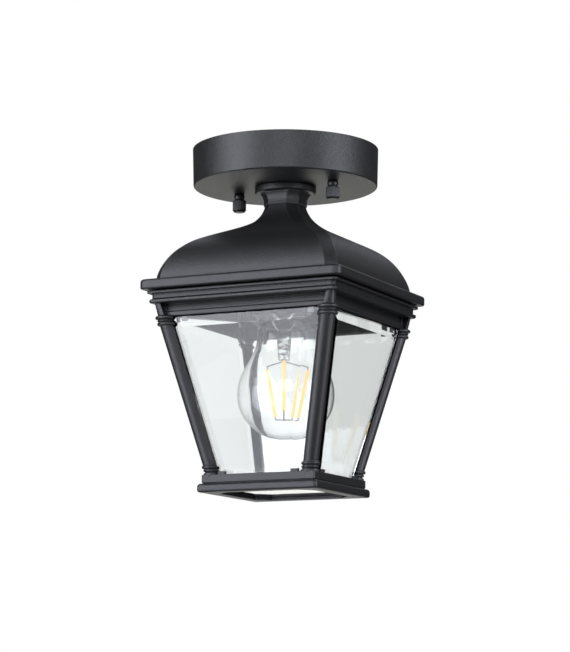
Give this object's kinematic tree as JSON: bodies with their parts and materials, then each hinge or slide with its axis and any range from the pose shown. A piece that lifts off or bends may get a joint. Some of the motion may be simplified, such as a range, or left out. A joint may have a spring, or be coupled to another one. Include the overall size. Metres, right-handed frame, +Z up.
{
  "type": "ceiling lantern",
  "caption": "Black square ceiling lantern for outdoors: round canopy, bell roof, moulded cornice, leaning round posts, bevelled clear panes and a screw-in filament bulb.",
  "frame": {"origin": "centre of the two mounting holes, on the ceiling plane", "axes": "+Z up to the ceiling, -Y out of the front pane, +X out of the right pane"},
  "size_m": [0.1388, 0.1388, 0.2234],
  "materials": {
    "black_paint": "satin textured black",
    "zinc_steel": "zinc plated",
    "green_screw": "green dyed",
    "black_brass": "satin black, knurled",
    "clear_glass": "clear, bevelled",
    "black_rubber": "matt",
    "spring_steel": "satin",
    "black_moulding": "matt moulded",
    "brass_shell": "satin",
    "nickel_cap": "nickel",
    "dark_glass": "gloss",
    "amber_phosphor": "soft amber"
  },
  "bodies": {
    "lantern": {"canopy": "black_paint", "mounting_cross": "zinc_steel", "canopy_studs": "zinc_steel", "stud_nuts": "zinc_steel", "ground_screw": "green_screw", "threaded_tube": "zinc_steel", "canopy_washer": "zinc_steel", "canopy_nut": "zinc_steel", "roof_washer": "zinc_steel", "roof_nut": "zinc_steel", "stem_flange": "black_paint", "neck": "black_paint", "roof": "black_paint", "roof_screws": "zinc_steel", "cornice": "black_paint", "post_pins": "zinc_steel", "post_front_right": "black_paint", "post_front_left": "black_paint", "post_back_right": "black_paint", "post_back_left": "black_paint", "post_studs": "zinc_steel", "post_nuts": "zinc_steel", "base": "black_paint", "pane_front": "clear_glass", "pane_right": "clear_glass", "pane_back": "clear_glass", "pane_left": "clear_glass", "pane_floor": "clear_glass", "glazing_frame": "black_rubber", "pane_clips": "spring_steel", "clip_rivets": "zinc_steel", "holder_cap": "black_moulding", "holder_body": "black_moulding", "screw_shell": "brass_shell", "centre_contact": "brass_shell"},
    "bulb": {"bulb_cap": "nickel_cap", "bulb_insulator": "dark_glass", "bulb_contact": "nickel_cap", "bulb_envelope": "clear_glass", "bulb_stem": "clear_glass", "bulb_filaments": "amber_phosphor", "bulb_wires": "spring_steel"},
    "cap_left": {"cap_nut_left": "black_brass"},
    "cap_right": {"cap_nut_right": "black_brass"}
  },
  "joints": [
    {"name": "bulb_turn", "type": "hinge", "parent": "lantern", "child": "bulb", "pos_m": [0, 0, -0.12], "axis": [0, 0, 1], "continuous": true},
    {"name": "cap_nut_left_turn", "type": "hinge", "parent": "lantern", "child": "cap_left", "pos_m": [-0.03661, 0.00659, -0.03], "axis": [0, 0, 1], "continuous": true},
    {"name": "cap_nut_right_turn", "type": "hinge", "parent": "lantern", "child": "cap_right", "pos_m": [0.03661, -0.00659, -0.03], "axis": [0, 0, 1], "continuous": true}
  ]
}
